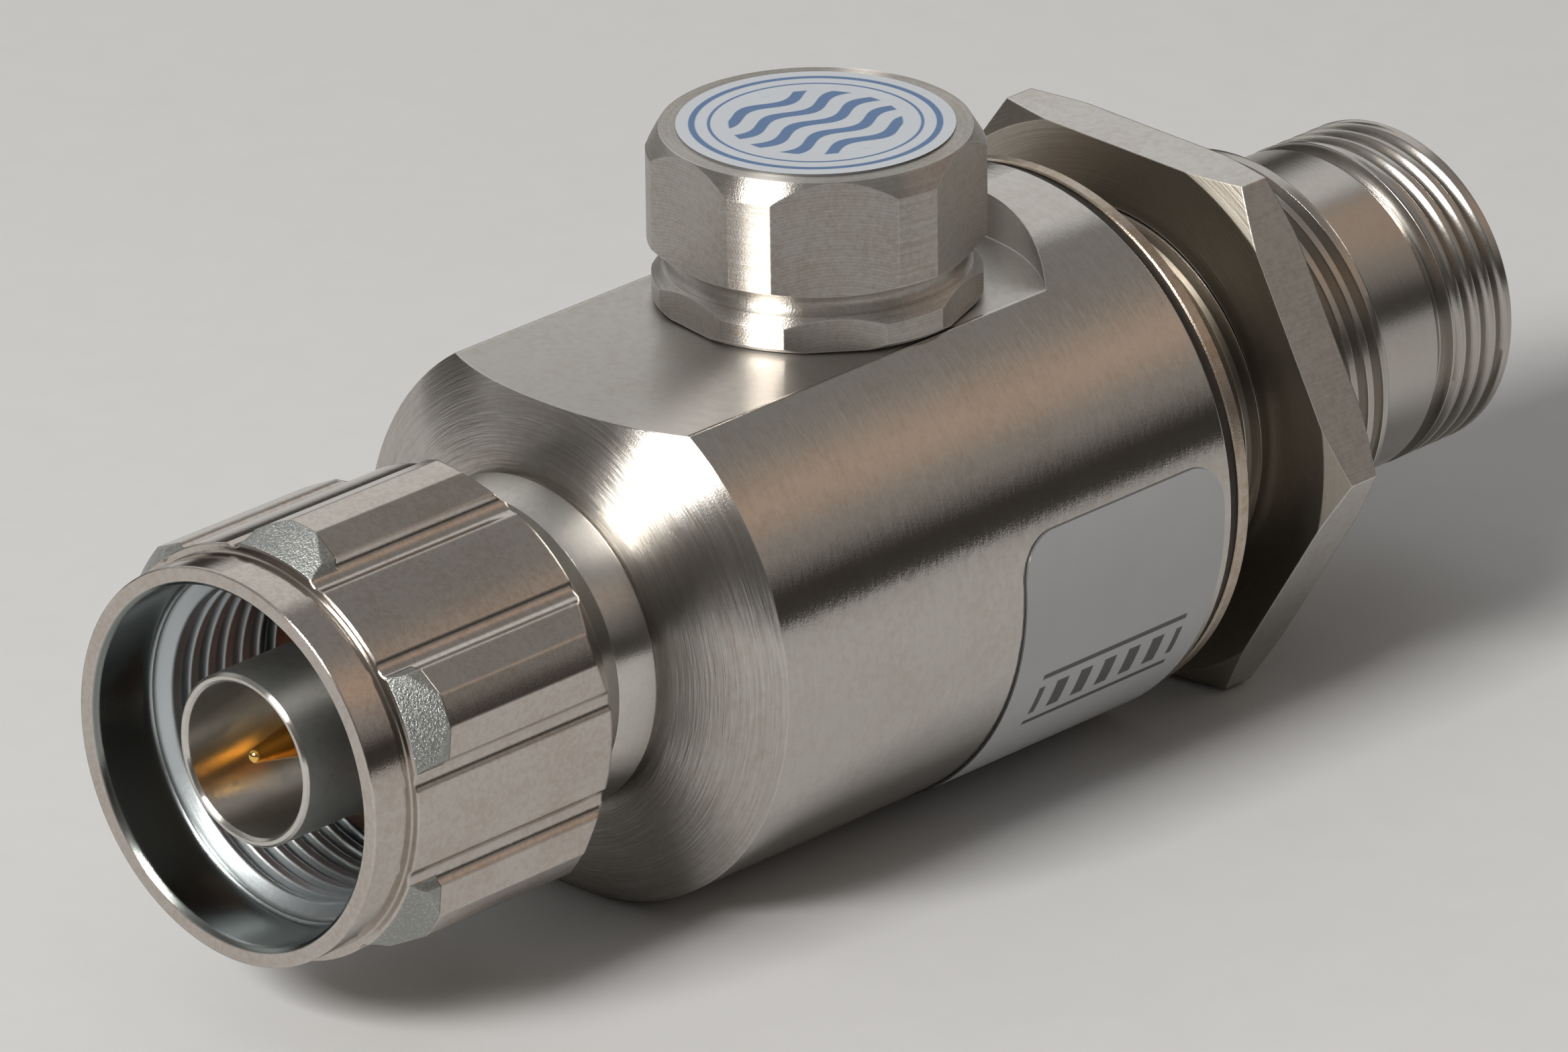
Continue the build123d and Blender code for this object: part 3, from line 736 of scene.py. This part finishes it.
# Materials
body_metal = metal(
    "plated_body", body_marks, body_turned, body_circling, turned_gloss=0.30, mark_tone=0.005,
)
plug_metal = metal(
    "plated_plug", turned="all", base=(0.68, 0.66, 0.62), turned_gloss=0.24, stain_amount=0.2,
)
nut_metal = metal(
    "plated_nut", base=(0.55, 0.51, 0.47), stain=BROWN_STAIN, stain_amount=0.5,
    stain_scale=3.2, rough_zone=nut_chamfer, bore_shade_zone=nut_bore_shade, edge=0.2, edge_light=0.25,
)
jack_metal = metal(
    "plated_jack", base=(0.45, 0.43, 0.40), smooth_gloss=0.21, stain_amount=0.35, edge=0.06,
)
hex_metal = metal(
    "plated_hex", hex_marks, stain=BROWN_STAIN, stain_amount=0.35, smooth_gloss=0.22,
    dark_reflection_zone=hex_dark_reflection, edge_light=0.8,
)
cap_metal = metal(
    "plated_cap", cap_marks, "all", cap_circling, turned_gloss=0.35, stain_amount=0.50,
    stain_scale=4.0, mark_tone=0.0015, grain_depth=0.006, edge_light=0.8,
)
washer_metal = metal(
    "washer_metal", base=(0.52, 0.45, 0.38), stain=(0.40, 0.30, 0.20), stain_amount=0.7,
    smooth_gloss=0.28, grain_depth=0.010, edge_light=0.3, edge=0.06,
)
spring_metal = metal("spring_metal", base=(0.52, 0.52, 0.51), smooth_gloss=0.3, edge=0.05)
electrode_metal = metal("electrode_metal", base=(0.70, 0.70, 0.70), smooth_gloss=0.2)
brass = metal("plain_brass", base=(0.80, 0.62, 0.32), stain=(0.62, 0.42, 0.20), smooth_gloss=0.28)
gold = metal(
    "gold_contact", base=(0.95, 0.60, 0.18), stain=(0.85, 0.46, 0.10), stain_amount=0.3,
    smooth_gloss=0.14, edge=0.05, edge_light=0.0,
)
insulator = plain("white_insulator", (0.80, 0.79, 0.76), (0.74, 0.73, 0.70), 0.42, sss=0.1)
# Amber rubber gasket, its tone darkened as painted shade inside the plug's mouth.
amber_in_shade = plain("amber_seal_shaded", (0.12, 0.044, 0.018), (0.09, 0.033, 0.014), 0.45)
dark = plain("dark_seal", (0.030, 0.022, 0.016), (0.045, 0.033, 0.024), 0.55)
ceramic = plain("capsule_ceramic", (0.78, 0.76, 0.71), (0.70, 0.68, 0.63), 0.6)
cap_film = film("cap_label_film", (0.49, 0.52, 0.56), (0.03, 0.115, 0.28), cap_drawing)
side_film = film("side_label_film", (0.46, 0.467, 0.474), (0.02, 0.02, 0.022), side_drawing)

finish = {
    "housing": body_metal,
    "plug_shell": plug_metal,
    "coupling_nut": nut_metal,
    "snap_ring": spring_metal,
    "plug_insulator": insulator,
    "plug_pin": gold,
    "plug_gasket": amber_in_shade,
    "inner_conductor": brass,
    "jack_barrel": jack_metal,
    "jack_insulator": insulator,
    "jack_contact": gold,
    "cap_seal": dark,
    "side_label": side_film,
    "cap_label": cap_film,
    "mounting_gasket": dark,
    "mounting_washer": washer_metal,
    "bulkhead_nut": hex_metal,
    "cap": cap_metal,
    "capsule_ceramic": ceramic,
    "lower_electrode": electrode_metal,
    "upper_electrode": electrode_metal,
    "contact_spring": spring_metal,
}
for node_name, material in finish.items():
    slots = nodes[node_name].data.materials
    slots.clear()
    slots.append(material)
nut_thread.data.materials.append(nut_metal)
barrel.data.materials.append(jack_metal)


# Floor, in millimetres
FLOOR_X = 34.0
FLOOR_RADIUS = 450.0
FLOOR_SIDES = 96
FLOOR_TONE = (0.60, 0.60, 0.60)
floor_mesh = bpy.data.meshes.new("floor")
floor_angles = [TURN * i / FLOOR_SIDES for i in range(FLOOR_SIDES)]
floor_points = [
    ((FLOOR_X + FLOOR_RADIUS * math.cos(a)) * MM, FLOOR_RADIUS * math.sin(a) * MM, FLOOR_Z * MM)
    for a in floor_angles
]
floor_mesh.from_pydata(floor_points, [], [tuple(range(FLOOR_SIDES))])
floor = bpy.data.objects.new("floor", floor_mesh)
bpy.context.scene.collection.objects.link(floor)
floor_material, graph = new_material("floor_paper")
fibre = graph.noise(graph.vector(*graph.place()), 0.4, 3.0, 0.6)
tone = graph.mix(fibre, colour(*FLOOR_TONE), colour(*shaded(FLOOR_TONE, 0.95)))
shader = graph.add("ShaderNodeBsdfPrincipled", {"Base Color": tone, "Roughness": 0.9})
shader.inputs["Specular IOR Level"].default_value = 0.1
graph.output(shader.outputs[0])
floor.data.materials.append(floor_material)

# World: a studio whose walls are dark near the horizon, warm to the right and light above
world = bpy.data.worlds.new("studio")
bpy.context.scene.world = world
world.use_nodes = True
graph = Graph(world.node_tree)
way = graph.split(graph.add("ShaderNodeTexCoord").outputs["Generated"])
height = graph.times(graph.math("ARCSINE", way[2]), 180 / math.pi)
bearing = graph.times(graph.math("ARCTAN2", way[1], way[0]), 180 / math.pi)

# Tone of the walls by height above level, in degrees
STOPS = [
    (-90, (0.30, 0.30, 0.30)),
    (-6, (0.25, 0.25, 0.25)),
    (-2, (0.055, 0.05, 0.045)),
    (8, (0.045, 0.04, 0.035)),
    (20, (0.12, 0.115, 0.11)),
    (32, (0.22, 0.21, 0.20)),
    (60, (0.30, 0.30, 0.30)),
    (90, (0.45, 0.45, 0.45)),
]
ramp = graph.add("ShaderNodeValToRGB", {0: graph.span(height, -90.0, 90.0)})
elements = ramp.color_ramp.elements
elements.remove(elements[-1])
for index, (level, tone) in enumerate(STOPS):
    position = (level + 90) / 180
    element = elements[0] if index == 0 else elements.new(position)
    element.position = position
    element.color = colour(*tone)

# Soft-edged panels on the walls: bearing, half width, lower and upper edge in degrees, and tone
PANELS = [
    (-28.0, 38.0, 13.0, 46.0, (0.33, 0.31, 0.29)),
    (-28.0, 38.0, 25.0, 39.0, (0.56, 0.435, 0.35)),
    (65.0, 50.0, 16.0, 56.0, (0.80, 0.80, 0.79)),
]
PANEL_SOFTNESS = 5.0
sky = ramp.outputs[0]
for centre, half_width, low, high, tone in PANELS:
    turn = graph.math("WRAP", graph.math("SUBTRACT", bearing, centre), 180.0, -180.0)
    across = graph.band(turn, -half_width, half_width, PANEL_SOFTNESS)
    inside = graph.times(across, graph.band(height, low, high, PANEL_SOFTNESS))
    sky = graph.mix(inside, sky, colour(*tone))
background = graph.add("ShaderNodeBackground", {"Color": sky, "Strength": 1.0})
out = graph.add("ShaderNodeOutputWorld")
graph.tree.links.new(background.outputs[0], out.inputs["Surface"])

# Lamp, aimed at the point that the camera looks at
TARGET = Vector((33.562, 0.0, 0.364)) * MM


def toward(bearing_deg, height_deg):
    """The unit vector at a bearing from +X and a height above level."""
    b, h = math.radians(bearing_deg), math.radians(height_deg)
    return Vector((math.cos(b) * math.cos(h), math.sin(b) * math.cos(h), math.sin(h)))


def softbox(name, direction, distance, width, height, radiance, tone):
    """A square-edged area lamp aimed at the object, in metres, set by the radiance of its face."""
    lamp = bpy.data.lights.new(name, "AREA")
    lamp.shape = "RECTANGLE"
    lamp.size, lamp.size_y = width, height
    lamp.energy = radiance * width * height * math.pi
    lamp.color = tone
    holder = bpy.data.objects.new(name, lamp)
    bpy.context.scene.collection.objects.link(holder)
    holder.location = TARGET + direction * distance
    holder.rotation_mode = "QUATERNION"
    holder.rotation_quaternion = direction.to_track_quat("Z", "Y")


softbox(
    "key", toward(-176.0, 35.0), distance=1.10, width=0.40, height=0.26, radiance=44.0,
    tone=(1.0, 0.98, 0.95),
)

# Camera, fitted to points of the photograph, with its distance in millimetres
PHOTO_WIDTH = 2336
FOCAL_PIXELS = 21297
SHIFT_RIGHT_PIXELS = 16.9
SHIFT_UP_PIXELS = 7.2
SENSOR_WIDTH = 36.0
DISTANCE = 648.778
AZIMUTH, ELEVATION, ROLL = (math.radians(v) for v in (-45.904, 23.112, -0.739))
back = Vector((
    math.sin(AZIMUTH) * math.cos(ELEVATION),
    -math.cos(AZIMUTH) * math.cos(ELEVATION),
    math.sin(ELEVATION),
))
right = Vector((math.cos(AZIMUTH), math.sin(AZIMUTH), 0.0))
up = back.cross(right)
right_rolled = math.cos(ROLL) * right + math.sin(ROLL) * up
up_rolled = math.cos(ROLL) * up - math.sin(ROLL) * right
camera_data = bpy.data.cameras.new("camera")
camera_data.sensor_width = SENSOR_WIDTH
camera_data.lens = SENSOR_WIDTH * FOCAL_PIXELS / PHOTO_WIDTH
camera_data.shift_x = SHIFT_RIGHT_PIXELS / PHOTO_WIDTH
camera_data.shift_y = SHIFT_UP_PIXELS / PHOTO_WIDTH
camera_data.clip_start, camera_data.clip_end = 0.05, 20.0
camera = bpy.data.objects.new("camera", camera_data)
bpy.context.scene.collection.objects.link(camera)
camera_matrix = Matrix((right_rolled, up_rolled, back)).transposed().to_4x4()
camera_matrix.translation = TARGET + back * DISTANCE * MM
camera.matrix_world = camera_matrix
bpy.context.scene.camera = camera
bpy.context.scene.view_settings.view_transform = "Standard"
